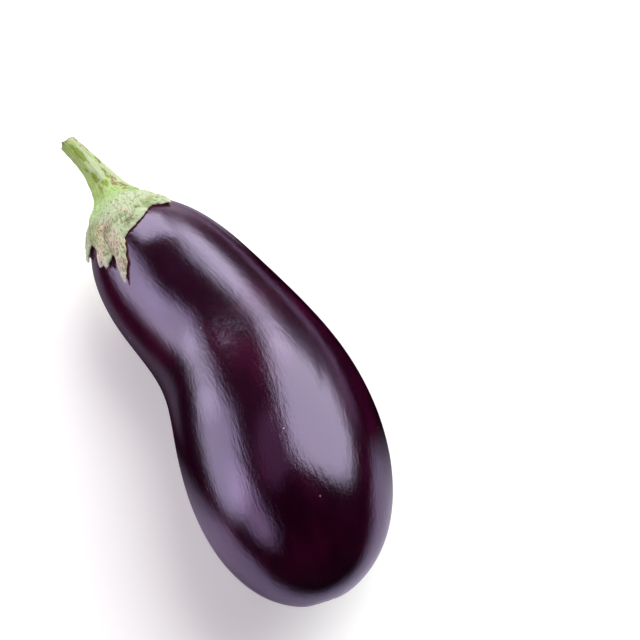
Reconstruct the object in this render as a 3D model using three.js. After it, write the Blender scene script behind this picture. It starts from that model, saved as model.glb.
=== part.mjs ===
/**
 * A ripe eggplant lying on its side, as picked: one glossy fruit, the leafy calyx that caps its stem end, and the cut
 * stem that stands on the calyx. Millimetres, +Z up. The stem end points along +Y, and the fruit's belly rests on a
 * small flat spot at z = 0, with the origin under the middle of the whole eggplant.
 */
import * as THREE from 'three';

// ---------------------------------------------------------------- driving dimensions

// Centre line of the fruit: control points of one Bezier curve, from the stem end to the blossom end.
const CENTRE_LINE = [
  new THREE.Vector3(-14.9, 84.1, 32.7),
  new THREE.Vector3(-5.4, 8.4, 34.4),
  new THREE.Vector3(22, -7, 27.9),
  new THREE.Vector3(-3.7, -62.6, 55.2),
  new THREE.Vector3(-11.9, -124.2, 36.3),
];
// Radii that the fruit is drawn towards in turn along its centre line: shoulder, neck, waist, belly, blossom end.
const GIRTH = [51.2, 48.4, 27.8, 30.7, 41.1, 46.3, 54.7, 63.5];
// Shallow lobes that keep the fruit from being perfectly round: how many round the section, how deep, and where.
const FRUIT_LOBES = [
  { count: 2, depth: 0.009, from: 35 },
  { count: 3, depth: 0.006, from: 80 },
];
// The blossom end, past midway, has a small dimple where the flower fell off.
const MIDWAY = 0.5;
const BLOSSOM_DIMPLE_DEPTH = 1.2;
const BLOSSOM_DIMPLE_RADIUS = 5;

// The calyx hugs the fruit. Its torn edge runs through these corners: the angle round the fruit from the top towards
// -X in degrees, how far down the centre line it reaches, and how far it curls away from the skin. Lobes hang between
// notches, so each lobe's columns first run to a base that spans from notch to notch, and then on to the lobe's edge.
const CALYX_EDGE = [
  { around: -56, reach: 10.8, curl: 0.1, notch: true },
  { around: -44, reach: 17.3, curl: 0.3 },
  { around: -34, reach: 25.9, curl: 0.8 },
  { around: -23, reach: 23.5, curl: 0.4 },
  { around: -18, reach: 22.7, curl: 0.3 },
  { around: -11, reach: 23, curl: 0.2 },
  { around: 2.5, reach: 26.6, curl: 0.2 },
  { around: 19.8, reach: 28.5, curl: 0.2, notch: true },
  { around: 25.8, reach: 33.9, curl: 0.4 },
  { around: 31.5, reach: 39.8, curl: 0.6 },
  { around: 44, reach: 46.6, curl: 0.8 },
  { around: 40.6, reach: 37.6, curl: 0.5 },
  { around: 37.3, reach: 29.4, curl: 0.4, notch: true },
  { around: 44, reach: 31.4, curl: 1.5 },
  { around: 49, reach: 34.8, curl: 3 },
  { around: 54.5, reach: 31.4, curl: 2.8 },
  { around: 53, reach: 24.5, curl: 1.2 },
  { around: 66.5, reach: 8.8, curl: 0.3, notch: true },
  { around: 75, reach: 15.8, curl: 1 },
  { around: 87, reach: 17.3, curl: 1.3 },
  { around: 96, reach: 14.3, curl: 0.9 },
  { around: 108, reach: 13.8, curl: 0.3, notch: true },
  { around: 122, reach: 23.3, curl: 0.5 },
  { around: 134, reach: 38.3, curl: 1.2 },
  { around: 142, reach: 28.3, curl: 0.6 },
  { around: 153, reach: 20.3, curl: 0.3, notch: true },
  { around: 166, reach: 26.3, curl: 0.3 },
  { around: 179, reach: 39.3, curl: 0.5 },
  { around: 189, reach: 28.3, curl: 0.3 },
  { around: 201, reach: 20.3, curl: 0.3, notch: true },
  { around: 214, reach: 26.3, curl: 0.6 },
  { around: 226, reach: 38.3, curl: 1.6 },
  { around: 236, reach: 27.3, curl: 0.6 },
  { around: 243, reach: 18.3, curl: 0.4, notch: true },
  { around: 249, reach: 22.3, curl: 0.4 },
  { around: 254, reach: 25.3, curl: 0.5 },
  { around: 262, reach: 16.8, curl: 0.2 },
  { around: 274, reach: 11.8, curl: 0.1 },
];
// A lobe's base lies this share of the way down to its notches, and the lobe takes up the columns from this share on.
const LOBE_BASE = 0.95;
const LOBE_START = 2 / 3;
// Curling starts at this share of the way from the boss to the edge.
const CALYX_CURL_START = 0.5;
const CALYX_BODY = 2.7;
const CALYX_RIM = 1;
const CALYX_RIM_WIDTH = 5;
const CALYX_RIB_HEIGHT = 0.35;
const BOSS_THICKNESS = 1;
const BOSS_RADIUS = 12;
const BOSS_FLARE_RISE = 0.6;
const BOSS_FLARE_WIDTH = 4;

// The stem's centre line ends here. It leaves the boss square to it, and bends a little on the way.
const STEM_TIP = new THREE.Vector3(-21.3, 122.9, 37.4);
const STEM_BEND = new THREE.Vector3(-14.4, 106.4, 35.2);
const STEM_STRAIGHT = 4;
const STEM_RADIUS = 3.7;
const STEM_FLARE = 7.9;
const STEM_FLARE_LENGTH = 12.5;
// The side of the flare that faces +X bulges over the boss: how far, and how far from the foot it bulges most.
const STEM_HIP = 4.4;
const STEM_HIP_DISTANCE = 6.5;
const STEM_RIDGES = 5;
const STEM_RIDGE_DEPTH = 0.05;
const STEM_CUT_SLANT = 0.16;
const STEM_CUT_BEVEL = 0.7;

// Clearance between pieces that touch.
const GAP = 0.3;

// How finely each piece is faceted.
const FRUIT_RINGS = 46;
const FRUIT_FACETS = 54;
const CALYX_RINGS = 9;
const CALYX_FACET = 2.6;
const NOSE_SHARES = [0.7, 0.35];
const STEM_RINGS = 18;
const STEM_FACETS = 30;
// Small step along and round the fruit, over which its skin's direction is measured.
const NORMAL_STEP = 1e-3;
// Place along the fruit where the widths of the calyx's facets are measured.
const SHOULDER = 0.08;

// ---------------------------------------------------------------- curves and skins

/** Bernstein weights of a Bezier curve at t, one for each control value. */
function bernstein(degree, t) {
  const weights = [];
  let choose = 1;
  for (let i = 0; i <= degree; i += 1) {
    weights.push(choose * t ** i * (1 - t) ** (degree - i));
    choose *= (degree - i) / (i + 1);
  }
  return weights;
}

/** Number that a list of control values gives at t. */
function blendNumbers(values, t) {
  const weights = bernstein(values.length - 1, t);
  return values.reduce((sum, value, i) => sum + value * weights[i], 0);
}

/** Point of the Bezier curve with these control points at t. */
function blendPoints(points, t) {
  const sum = new THREE.Vector3();
  bernstein(points.length - 1, t).forEach((weight, i) => sum.addScaledVector(points[i], weight));
  return sum;
}

/** Point, direction and the two section axes of a Bezier curve at t. Up and side turn right-handed about the curve. */
function frameAlong(points, t) {
  const steps = points.slice(1).map((point, i) => point.clone().sub(points[i]));
  const along = blendPoints(steps, t).normalize();
  const side = new THREE.Vector3().crossVectors(along, new THREE.Vector3(0, 0, 1)).normalize();
  const up = new THREE.Vector3().crossVectors(side, along);
  return { centre: blendPoints(points, t), along, up, side };
}

/** Point of a frame's section at this radius and angle, the angle running from up towards side. */
function sectionPoint(frame, radius, angle) {
  return frame.centre
    .clone()
    .addScaledVector(frame.up, radius * Math.cos(angle))
    .addScaledVector(frame.side, radius * Math.sin(angle));
}

/** Closed skin over rings of points: the first and last ring are one point each, all the others match in length. */
function skin(rings) {
  const positions = rings.flat().flatMap((point) => point.toArray());
  const facets = rings[1].length;
  const starts = rings.map((ring, i) => (i === 0 ? 0 : 1 + (i - 1) * facets));
  const last = starts[rings.length - 1];
  const triangles = [];
  for (let j = 0; j < facets; j += 1) {
    const next = (j + 1) % facets;
    triangles.push(0, starts[1] + next, starts[1] + j);
    for (let i = 1; i < rings.length - 2; i += 1) {
      const near = starts[i];
      const far = starts[i + 1];
      triangles.push(near + j, near + next, far + next, near + j, far + next, far + j);
    }
    const rim = starts[rings.length - 2];
    triangles.push(rim + j, rim + next, last);
  }
  const geometry = new THREE.BufferGeometry();
  geometry.setAttribute('position', new THREE.Float32BufferAttribute(positions, 3));
  geometry.setIndex(triangles);
  geometry.computeVertexNormals();
  return geometry;
}

/** Evenly spaced angles round a section. */
function fullTurn(facets) {
  return Array.from({ length: facets }, (_, i) => (2 * Math.PI * i) / facets);
}

// ---------------------------------------------------------------- fruit

/** Radius of the fruit at t along its centre line: round at both ends, drawn in at the neck, and faintly lobed. */
function fruitRadius(t, angle) {
  const plain = 2 * Math.sqrt(t * (1 - t)) * blendNumbers(GIRTH, t);
  const lobing = FRUIT_LOBES.reduce((sum, { count, depth, from }) => {
    return sum + depth * Math.cos(count * (angle - THREE.MathUtils.degToRad(from)));
  }, 1);
  return plain * lobing;
}

/** Point of the fruit's skin, before its flat spot is pressed in. */
function fruitPoint(t, angle) {
  const frame = frameAlong(CENTRE_LINE, t);
  const radius = fruitRadius(t, angle);
  const point = sectionPoint(frame, radius, angle);
  if (t > MIDWAY) {
    const dimple = BLOSSOM_DIMPLE_DEPTH * Math.exp(-((radius / BLOSSOM_DIMPLE_RADIUS) ** 2));
    point.addScaledVector(frame.along, -dimple);
  }
  return point;
}

/** Direction out of the fruit's skin. */
function fruitNormal(t, angle) {
  const round = fruitPoint(t, angle + NORMAL_STEP).sub(fruitPoint(t, angle - NORMAL_STEP));
  const down = fruitPoint(t + NORMAL_STEP, angle).sub(fruitPoint(t - NORMAL_STEP, angle));
  return round.cross(down).normalize();
}

/** The fruit, resting on a flat spot where its belly meets the ground. */
function makeFruit() {
  const rings = [[fruitPoint(0, 0)]];
  for (let i = 1; i < FRUIT_RINGS; i += 1) {
    const t = Math.sin((Math.PI / 2) * (i / FRUIT_RINGS)) ** 2;
    rings.push(fullTurn(FRUIT_FACETS).map((angle) => fruitPoint(t, angle)));
  }
  rings.push([fruitPoint(1, 0)]);
  rings.flat().forEach((point) => point.setZ(Math.max(point.z, 0)));
  return skin(rings);
}

// ---------------------------------------------------------------- calyx

/** Curve object of the centre line, which measures distances along it. */
class CentreCurve extends THREE.Curve {
  getPoint(t, target = new THREE.Vector3()) {
    return target.copy(blendPoints(CENTRE_LINE, t));
  }
}

const centreCurve = new CentreCurve();

/** Place t on the centre line at this distance from the stem end. */
function stationAt(distance) {
  return centreCurve.getUtoTmapping(0, distance);
}

/** Root of t where the fruit's section has this radius, near the stem end. */
const BOSS_ROOT = BOSS_RADIUS / (2 * GIRTH[0]);

/** Places along the torn edge, evenly spaced from each corner to the next. */
function calyxEdgePlaces() {
  const closed = [...CALYX_EDGE, { ...CALYX_EDGE[0], around: CALYX_EDGE[0].around + 360 }];
  const places = closed.slice(1).flatMap((corner, i) => {
    const from = closed[i];
    const width = THREE.MathUtils.degToRad(corner.around - from.around) * fruitRadius(SHOULDER, 0);
    const facets = Math.max(2, Math.round(Math.hypot(width, corner.reach - from.reach) / CALYX_FACET));
    return Array.from({ length: facets }, (_, k) => ({
      around: THREE.MathUtils.lerp(from.around, corner.around, k / facets),
      reach: THREE.MathUtils.lerp(from.reach, corner.reach, k / facets),
      curl: THREE.MathUtils.lerp(from.curl, corner.curl, k / facets),
      notch: k === 0 && from.notch === true,
    }));
  });
  return [...places, closed[closed.length - 1]];
}

/** Stop of a column: an angle in degrees, a distance down the centre line, and the root of t there. */
function calyxStop(degrees, distance) {
  return { degrees, distance, root: Math.sqrt(stationAt(distance)) };
}

/** Columns of the calyx: each starts at an even share of turn and runs through its lobe's base to the torn edge. */
function calyxColumns() {
  const places = calyxEdgePlaces();
  const last = places.length - 1;
  const notches = places.map((place, i) => (place.notch ? i : -1)).filter((i) => i >= 0);
  return notches.slice(1).flatMap((end, n) => {
    const start = notches[n];
    return places.slice(start, end).map(({ around, reach, curl }, k) => {
      const share = k / (end - start);
      const atBoss = { degrees: places[0].around + (360 * (start + k)) / last, distance: 0, root: BOSS_ROOT };
      const baseAround = THREE.MathUtils.lerp(places[start].around, places[end].around, share);
      const baseReach = LOBE_BASE * THREE.MathUtils.lerp(places[start].reach, places[end].reach, share);
      return { curl, stops: [atBoss, calyxStop(baseAround, baseReach), calyxStop(around, reach)] };
    });
  });
}

/** Place of a column on the fruit at this share of the way from the boss, through the lobe's base, to the edge. */
function calyxPlace({ stops }, share) {
  const inLobe = share > LOBE_START;
  const [from, to] = inLobe ? stops.slice(1) : stops;
  const part = inLobe ? (share - LOBE_START) / (1 - LOBE_START) : share / LOBE_START;
  const between = (key) => THREE.MathUtils.lerp(from[key], to[key], part);
  return { t: between('root') ** 2, angle: THREE.MathUtils.degToRad(between('degrees')), distance: between('distance') };
}

/** Point at this height over the skin, with the column's curl added towards its edge. */
function calyxPoint(column, share, height) {
  const { t, angle } = calyxPlace(column, share);
  const curl = column.curl * THREE.MathUtils.smoothstep(share, CALYX_CURL_START, 1) ** 2;
  return fruitPoint(t, angle).addScaledVector(fruitNormal(t, angle), GAP + curl + height);
}

/** Thickness of the calyx: thick where it flares into the boss, thin at its torn edge, ribbed like the stem. */
function calyxThickness(column, share) {
  const { t, angle, distance } = calyxPlace(column, share);
  const fromBoss = fruitRadius(t, angle) - BOSS_RADIUS;
  const flare = BOSS_FLARE_RISE * Math.exp(-Math.max(fromBoss, 0) / BOSS_FLARE_WIDTH);
  const rib = CALYX_RIB_HEIGHT * Math.cos(STEM_RIDGES * THREE.MathUtils.degToRad(column.stops[0].degrees));
  const full = 1 - Math.exp((distance - column.stops[2].distance) / CALYX_RIM_WIDTH);
  return THREE.MathUtils.lerp(CALYX_RIM, CALYX_BODY + flare + rib, full);
}

/** Frame of the boss's flat top, which faces straight out along the fruit's centre line. */
function bossTop() {
  const frame = frameAlong(CENTRE_LINE, 0);
  frame.centre.addScaledVector(frame.along, -(GAP + BOSS_THICKNESS));
  return frame;
}

/** The calyx: outside from the boss's flat top down to the torn edge, and back up its inner face. */
function makeCalyx() {
  const columns = calyxColumns();
  const top = bossTop();
  const shares = Array.from({ length: CALYX_RINGS + 1 }, (_, i) => i / CALYX_RINGS);
  const turns = columns.map(({ stops }) => THREE.MathUtils.degToRad(stops[0].degrees));
  const bossRing = (radius) => turns.map((turn) => sectionPoint(top, radius, turn));
  const outside = shares.map((share) => {
    return columns.map((column) => calyxPoint(column, share, calyxThickness(column, share)));
  });
  const inside = shares.map((share) => columns.map((column) => calyxPoint(column, share, 0))).reverse();
  const overNose = (t, turn) => fruitPoint(t, turn).addScaledVector(top.along, -GAP);
  const nose = NOSE_SHARES.map((share) => turns.map((turn) => overNose((share * BOSS_ROOT) ** 2, turn)));
  const crown = [[top.centre], bossRing(BOSS_RADIUS / 2), bossRing(BOSS_RADIUS)];
  return skin([...crown, ...outside, ...inside, ...nose, [overNose(0, 0)]]);
}

// ---------------------------------------------------------------- stem

/** Control points of the stem's centre line, from its foot on the boss to the cut. */
function stemLine() {
  const top = bossTop();
  const foot = top.centre.clone().addScaledVector(top.along, -GAP);
  return [foot, foot.clone().addScaledVector(top.along, -STEM_STRAIGHT), STEM_BEND, STEM_TIP];
}

/** Radius of the stem at this distance from its foot: flared and hipped there, with ridges that run along it. */
function stemRadius(distance, angle) {
  const plain = STEM_RADIUS + STEM_FLARE * Math.exp(-distance / STEM_FLARE_LENGTH);
  const steps = distance / STEM_HIP_DISTANCE;
  const hip = STEM_HIP * steps * Math.exp(1 - steps) * ((1 + Math.sin(angle)) / 2) ** 2;
  return (plain + hip) * (1 + STEM_RIDGE_DEPTH * Math.cos(STEM_RIDGES * angle));
}

/** The stem, from its flat foot to its slanting cut. */
function makeStem() {
  const line = stemLine();
  const length = line[0].distanceTo(line[3]);
  const angles = fullTurn(STEM_FACETS);
  const stations = Array.from({ length: STEM_RINGS + 1 }, (_, i) => i / STEM_RINGS);
  const rings = stations.map((t) => {
    const frame = frameAlong(line, t);
    return angles.map((angle) => sectionPoint(frame, stemRadius(t * length, angle), angle));
  });
  const end = frameAlong(line, 1);
  const cut = angles.map((angle) => {
    const radius = stemRadius(length, angle) - STEM_CUT_BEVEL;
    const lean = STEM_CUT_BEVEL + STEM_CUT_SLANT * radius * (1 + Math.cos(angle));
    return sectionPoint(end, radius, angle).addScaledVector(end.along, lean);
  });
  const cutCentre = end.centre.addScaledVector(end.along, STEM_CUT_BEVEL + STEM_CUT_SLANT * STEM_RADIUS);
  return skin([[line[0]], ...rings, cut, [cutCentre]]);
}

// ---------------------------------------------------------------- materials and assembly

/** Taut, glossy, nearly black purple skin. */
function skinMaterial() {
  return new THREE.MeshStandardMaterial({ color: 0x2b0619, roughness: 0.22, metalness: 0 });
}

/** Dry, leathery pale green calyx. */
function calyxMaterial() {
  return new THREE.MeshStandardMaterial({ color: 0xb9c19a, roughness: 0.75, metalness: 0 });
}

/** Firm, fibrous green stem. */
function stemMaterial() {
  return new THREE.MeshStandardMaterial({ color: 0x9db06f, roughness: 0.7, metalness: 0 });
}

/** Mesh with its node's name. */
function named(name, geometry, material) {
  const mesh = new THREE.Mesh(geometry, material);
  mesh.name = name;
  return mesh;
}

const eggplant = new THREE.Group();
eggplant.add(
  named('fruit', makeFruit(), skinMaterial()),
  named('calyx', makeCalyx(), calyxMaterial()),
  named('stem', makeStem(), stemMaterial()),
);

export default eggplant;
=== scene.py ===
"""A ripe eggplant lying on its side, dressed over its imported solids.

Three pieces stand for the three solids and keep their sizes: the fruit's taut skin, the torn leafy calyx, and the cut
stem. Each is a skin over rings of points, worked out in millimetres and put into its mesh in metres.
"""

from __future__ import annotations

import itertools
import logging
import math
from dataclasses import dataclass
from enum import Enum
from functools import cached_property

import bpy
import numpy as np
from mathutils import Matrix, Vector


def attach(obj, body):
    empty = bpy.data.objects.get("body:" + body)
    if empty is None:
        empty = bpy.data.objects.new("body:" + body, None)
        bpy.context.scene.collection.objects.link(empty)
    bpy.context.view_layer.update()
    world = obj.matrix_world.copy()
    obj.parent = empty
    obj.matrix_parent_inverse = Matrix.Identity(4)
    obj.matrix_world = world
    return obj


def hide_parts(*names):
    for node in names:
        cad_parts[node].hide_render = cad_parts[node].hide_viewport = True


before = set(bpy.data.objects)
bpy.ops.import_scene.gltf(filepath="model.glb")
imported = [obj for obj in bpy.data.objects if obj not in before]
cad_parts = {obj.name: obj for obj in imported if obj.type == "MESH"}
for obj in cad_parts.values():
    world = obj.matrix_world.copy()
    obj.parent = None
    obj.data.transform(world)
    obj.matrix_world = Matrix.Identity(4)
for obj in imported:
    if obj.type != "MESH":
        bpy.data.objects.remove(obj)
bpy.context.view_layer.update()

log = logging.getLogger("eggplant")

METRES = 0.001
UP = np.array([0.0, 0.0, 1.0])
Array = np.ndarray


# ---- numbers and curves


def smooth(low: float, high: float, value: Array) -> Array:
    """Ease from 0 at low to 1 at high: 3x^2 - 2x^3 of the clamped share x.

    Args:
        low: where the ease starts.
        high: where it ends; it may lie below low.
        value: numbers to ease.

    Returns:
        Numbers from 0 to 1.
    """
    x = np.clip((np.asarray(value, float) - low) / (high - low), 0, 1)
    return x * x * (3 - 2 * x)


def hump(middle: float, width: float, value: Array) -> Array:
    """Bell exp(-((value - middle) / width)^2)."""
    return np.exp(-(((np.asarray(value, float) - middle) / width) ** 2))


def mix(start: Array, end: Array, share: Array) -> Array:
    """Straight mix start + (end - start) * share."""
    return start + (end - start) * share


def unit(vectors: Array) -> Array:
    """The same directions with length 1."""
    return vectors / np.linalg.norm(vectors, axis=-1, keepdims=True)


def bernstein(count: int, t: Array) -> Array:
    """Bernstein weights C(n, i) t^i (1 - t)^(n - i) of a Bezier curve with n + 1 control values.

    Args:
        count: how many control values.
        t: places on the curve, from 0 to 1.

    Returns:
        One weight for each place and control value.
    """
    i = np.arange(count)
    choose = np.array([math.comb(count - 1, k) for k in range(count)], float)
    t = np.asarray(t, float)[..., None]
    return choose * t**i * (1 - t) ** (count - 1 - i)


@dataclass(frozen=True)
class Sections:
    """Sections across a curve: their middle, the curve's direction and the two axes that lie in them."""

    centre: Array
    along: Array
    side: Array
    up: Array

    def point(self, radius: Array, angle: Array) -> Array:
        """Point centre + radius (cos(angle) up + sin(angle) side)."""
        across = np.cos(angle)[..., None] * self.up + np.sin(angle)[..., None] * self.side
        return self.centre + np.asarray(radius)[..., None] * across


def sections_along(controls: Array, t: Array) -> Sections:
    """Sections of a Bezier curve: side is along x Z, and up is side x along.

    Args:
        controls: control points, one row each.
        t: places on the curve.

    Returns:
        The sections at those places.
    """
    controls = np.asarray(controls, float)
    along = unit(bernstein(len(controls) - 1, t) @ np.diff(controls, axis=0))
    side = unit(np.cross(along, UP))
    return Sections(bernstein(len(controls), t) @ controls, along, side, np.cross(side, along))


def noise(places: Array, seed: int) -> Array:
    """Smooth random heights between about -1 and 1.

    Each corner of a unit lattice holds a seeded random slope; the height is the slopes' planes, blended between the
    eight corners with the fade 6x^5 - 15x^4 + 10x^3.

    Args:
        places: points, three coordinates each, in units of the lattice.
        seed: which lattice.

    Returns:
        One height for each place.
    """
    source = np.random.default_rng(seed)
    order = source.permutation(256)
    slopes = unit(source.normal(size=(256, 3)))
    cell = np.floor(places).astype(int)
    part = places - cell
    fade = part**3 * (part * (part * 6 - 15) + 10)
    total = np.zeros(places.shape[:-1])
    for corner in itertools.product((0, 1), repeat=3):
        at = cell + corner
        key = order[(order[(order[at[..., 0] & 255] + at[..., 1]) & 255] + at[..., 2]) & 255]
        plane = ((part - corner) * slopes[key]).sum(-1)
        total += plane * np.where(corner, fade, 1 - fade).prod(-1)
    return 1.6 * total


def rough(places: Array, seed: int, octaves: int = 4) -> Array:
    """Noise with finer noise on it: octave k has twice the detail and half the height of the one before."""
    return sum(noise(places * 2**k, seed + k) / 2**k for k in range(octaves))


@dataclass(frozen=True)
class Relief:
    """Random relief: its height, the size of its lumps along each axis or along all, its octaves and its seed."""

    height: float
    size: float | tuple
    octaves: int
    seed: int

    def at(self, place: Array) -> Array:
        """Height at each place."""
        return self.height * rough(place / self.size, self.seed, self.octaves)


def round_place(radius: Array | float, angle: Array, height: Array | float = 0.0) -> Array:
    """Point (radius cos(angle), radius sin(angle), height) of a pattern that runs round and along a piece."""
    return np.stack(np.broadcast_arrays(radius * np.cos(angle), radius * np.sin(angle), height), -1)


def turned(angle: Array, middle: float, full: float = 2 * math.pi) -> Array:
    """Shortest turn from middle to the angle, where full is a whole turn."""
    return (angle - middle + full / 2) % full - full / 2


# ---- meshes


@dataclass
class RingSkin:
    """Closed skin over a start point, rings of points that match in length, and an end point."""

    start: Array
    rings: list[Array]
    end: Array

    def points(self) -> Array:
        """All points in order: the start, ring after ring, the end."""
        return np.concatenate([self.start[None], *self.rings, self.end[None]])

    def faces(self) -> list[list[int]]:
        """Fans of triangles at both ends, and between them a quad from each point to the next ring's.

        Returns:
            Corner numbers of each face.
        """
        count, columns = len(self.rings), len(self.rings[0])
        near = np.arange(columns)
        onward = (near + 1) % columns
        starts = 1 + columns * np.arange(count - 1)[:, None]
        quads = np.stack([starts + near, starts + onward, starts + columns + onward, starts + columns + near], -1)
        last = 1 + columns * (count - 1)
        first_fan = np.stack([np.zeros(columns, int), 1 + onward, 1 + near], -1)
        last_fan = np.stack([last + near, last + onward, np.full(columns, last + columns)], -1)
        return first_fan.tolist() + quads.reshape(-1, 4).tolist() + last_fan.tolist()


def with_ends(first: Array | float, values: Array, last: Array | float) -> Array:
    """Numbers or vectors for a skin's corners: the start point's, each ring's and the end point's."""
    return np.concatenate([[first], values.reshape(-1, *values.shape[2:]), [last]])


def placed(name: str, data: bpy.types.ID) -> bpy.types.Object:
    """New object with this data, in the scene.

    Args:
        name: its name.
        data: its mesh, light or camera.

    Returns:
        The object.
    """
    thing = bpy.data.objects.new(name, data)
    bpy.context.scene.collection.objects.link(thing)
    return thing


def piece_from(name: str, points: Array, faces: list[list[int]], marks: dict[str, Array]) -> bpy.types.Object:
    """Smooth-shaded object at the origin, with its place in its mesh.

    Args:
        name: the piece's name.
        points: corners in millimetres.
        faces: corner numbers of each face.
        marks: named numbers or vectors, one for each corner, for the piece's finish.

    Returns:
        The new object.
    """
    mesh = bpy.data.meshes.new(name)
    mesh.from_pydata((points * METRES).tolist(), [], faces)
    for mark, values in marks.items():
        kind, slot = ("FLOAT_VECTOR", "vector") if values.ndim == 2 else ("FLOAT", "value")
        mesh.attributes.new(mark, kind, "POINT").data.foreach_set(slot, values.astype(np.float32).ravel())
    mesh.update()
    mesh.shade_smooth()
    return placed(name, mesh)


def settle(piece: bpy.types.Object, finish: bpy.types.Material, slot: str, *nodes: str) -> None:
    """Dress a piece, hang it from the root body and hide the solids that it stands for.

    Args:
        piece: the finished object.
        finish: its material.
        slot: not used.
        nodes: the solids that it stands for.
    """
    piece.data.materials.append(finish)
    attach(piece, "root")
    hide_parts(*nodes)
    log.info("%s: %d faces", piece.name, len(piece.data.polygons))


# ---- shader maths


class Signal:
    """Socket with a value that varies over a surface. Operators on it add Math nodes."""

    def __init__(self, nodes: Nodes, socket: bpy.types.NodeSocket) -> None:
        """Keep the node tree and the socket that holds the value."""
        self.nodes = nodes
        self.socket = socket

    def math(self, operation: str, *others: Signal | float) -> Signal:
        """Math node with this signal as its first value.

        Args:
            operation: the node's operation.
            others: its other values.

        Returns:
            The result.
        """
        return self.nodes.signal("ShaderNodeMath", {"operation": operation}, dict(enumerate((self, *others))))

    def __add__(self, other: Signal | float) -> Signal:
        """self + other."""
        return self.math("ADD", other)

    __radd__ = __add__

    def __mul__(self, other: Signal | float) -> Signal:
        """self * other."""
        return self.math("MULTIPLY", other)

    __rmul__ = __mul__

    def __sub__(self, other: Signal | float) -> Signal:
        """self - other."""
        return self.math("SUBTRACT", other)

    def __rsub__(self, other: float) -> Signal:
        """other - self."""
        return self * -1.0 + other

    def __pow__(self, other: float) -> Signal:
        """self to the power other."""
        return self.math("POWER", other)

    def between(self, low: float, high: float) -> Signal:
        """Smooth step from 0 at low to 1 at high.

        Args:
            low: value with the result 0.
            high: value with the result 1; it may be the lower one.

        Returns:
            The step.
        """
        if low > high:
            return 1 - self.between(high, low)
        settings = {"interpolation_type": "SMOOTHSTEP"}
        return self.nodes.signal("ShaderNodeMapRange", settings, {"Value": self, "From Min": low, "From Max": high})


class Nodes:
    """Node tree of a material or of the studio's surroundings."""

    def __init__(self, tree: bpy.types.NodeTree) -> None:
        """Keep a node tree, and clear it."""
        self.tree = tree
        self.tree.nodes.clear()

    def feed(self, node: bpy.types.Node, sockets: dict) -> None:
        """Set a node's sockets to values, or link them.

        Args:
            node: the node.
            sockets: values, signals or output sockets, by the socket's name or number.
        """
        for key, value in sockets.items():
            value = value.socket if isinstance(value, Signal) else value
            if isinstance(value, bpy.types.NodeSocket):
                self.tree.links.new(value, node.inputs[key])
            else:
                node.inputs[key].default_value = value

    def node(self, kind: str, settings: dict, sockets: dict) -> bpy.types.Node:
        """New node.

        Args:
            kind: the node's type.
            settings: its own properties, set first.
            sockets: values or links of its sockets.

        Returns:
            The node.
        """
        node = self.tree.nodes.new(kind)
        for key, value in settings.items():
            setattr(node, key, value)
        self.feed(node, sockets)
        return node

    def signal(self, kind: str, settings: dict, sockets: dict, output: str | int = 0) -> Signal:
        """New node's output as a signal."""
        return Signal(self, self.node(kind, settings, sockets).outputs[output])

    def blend(self, share: Signal | float, first: tuple | bpy.types.NodeSocket,
              second: tuple | bpy.types.NodeSocket) -> bpy.types.NodeSocket:
        """Colour mix: first at share 0, second at share 1."""
        sockets = {0: share, 6: first, 7: second}
        return self.node("ShaderNodeMix", {"data_type": "RGBA"}, sockets).outputs[2]


class Recipe(Nodes):
    """Node tree of one material, with its Principled shader."""

    def __init__(self, name: str) -> None:
        """New material with a Principled shader on its output.

        Args:
            name: the material's name.
        """
        self.material = bpy.data.materials.new(name)
        self.material.use_nodes = True
        super().__init__(self.material.node_tree)
        self.shader = self.node("ShaderNodeBsdfPrincipled", {}, {})
        self.node("ShaderNodeOutputMaterial", {}, {"Surface": self.shader.outputs["BSDF"]})

    def mark(self, name: str) -> Signal:
        """Number that the piece's mesh carries at each corner."""
        return self.signal("ShaderNodeAttribute", {"attribute_name": name}, {}, "Fac")

    def place(self, name: str, stretch: tuple[float, float, float]) -> bpy.types.NodeSocket:
        """Vector that the mesh carries at each corner, each coordinate divided by its stretch.

        Args:
            name: the vector's name.
            stretch: one number for each coordinate.

        Returns:
            The vector's socket.
        """
        carried = self.node("ShaderNodeAttribute", {"attribute_name": name}, {})
        sockets = {0: carried.outputs["Vector"], 1: tuple(1 / s for s in stretch)}
        return self.node("ShaderNodeVectorMath", {"operation": "MULTIPLY"}, sockets).outputs["Vector"]

    def noise(self, place: str, size: tuple, detail: float, roughness: float = 0.55) -> Signal:
        """Noise from 0 to 1 over a place that the mesh carries, about one bump to each size."""
        sockets = {"Vector": self.place(place, size), "Scale": 1.0, "Detail": detail, "Roughness": roughness}
        return self.signal("ShaderNodeTexNoise", {}, sockets, "Fac")

    def cells(self, place: str, size: tuple) -> Signal:
        """Distance, in sizes, to the nearest of random points, about one to each size of the place."""
        sockets = {"Vector": self.place(place, size), "Scale": 1.0}
        return self.signal("ShaderNodeTexVoronoi", {}, sockets, "Distance")

    def bumps(self, *layers: tuple[Signal, float]) -> bpy.types.NodeSocket:
        """Normal of bumps on one another.

        Args:
            layers: pairs of a height from 0 to 1 and how deep it stands, in millimetres.

        Returns:
            The normal.
        """
        under = {}
        for height, depth in layers:
            sockets = {"Height": height, "Distance": depth * METRES, "Strength": 1.0, **under}
            under = {"Normal": self.node("ShaderNodeBump", {}, sockets).outputs["Normal"]}
        return under["Normal"]

    def paint(self, base: tuple, *coats: tuple) -> bpy.types.NodeSocket:
        """Colour with other colours over it.

        Args:
            base: the colour underneath.
            coats: pairs of a share from 0 to 1 and the colour, or its socket, that takes it.

        Returns:
            The painted colour.
        """
        for share, coat in coats:
            base = self.blend(share, base, coat)
        return base

    def finished(self, sockets: dict) -> bpy.types.Material:
        """The material, with these values or links on its shader."""
        self.feed(self.shader, sockets)
        return self.material


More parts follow.
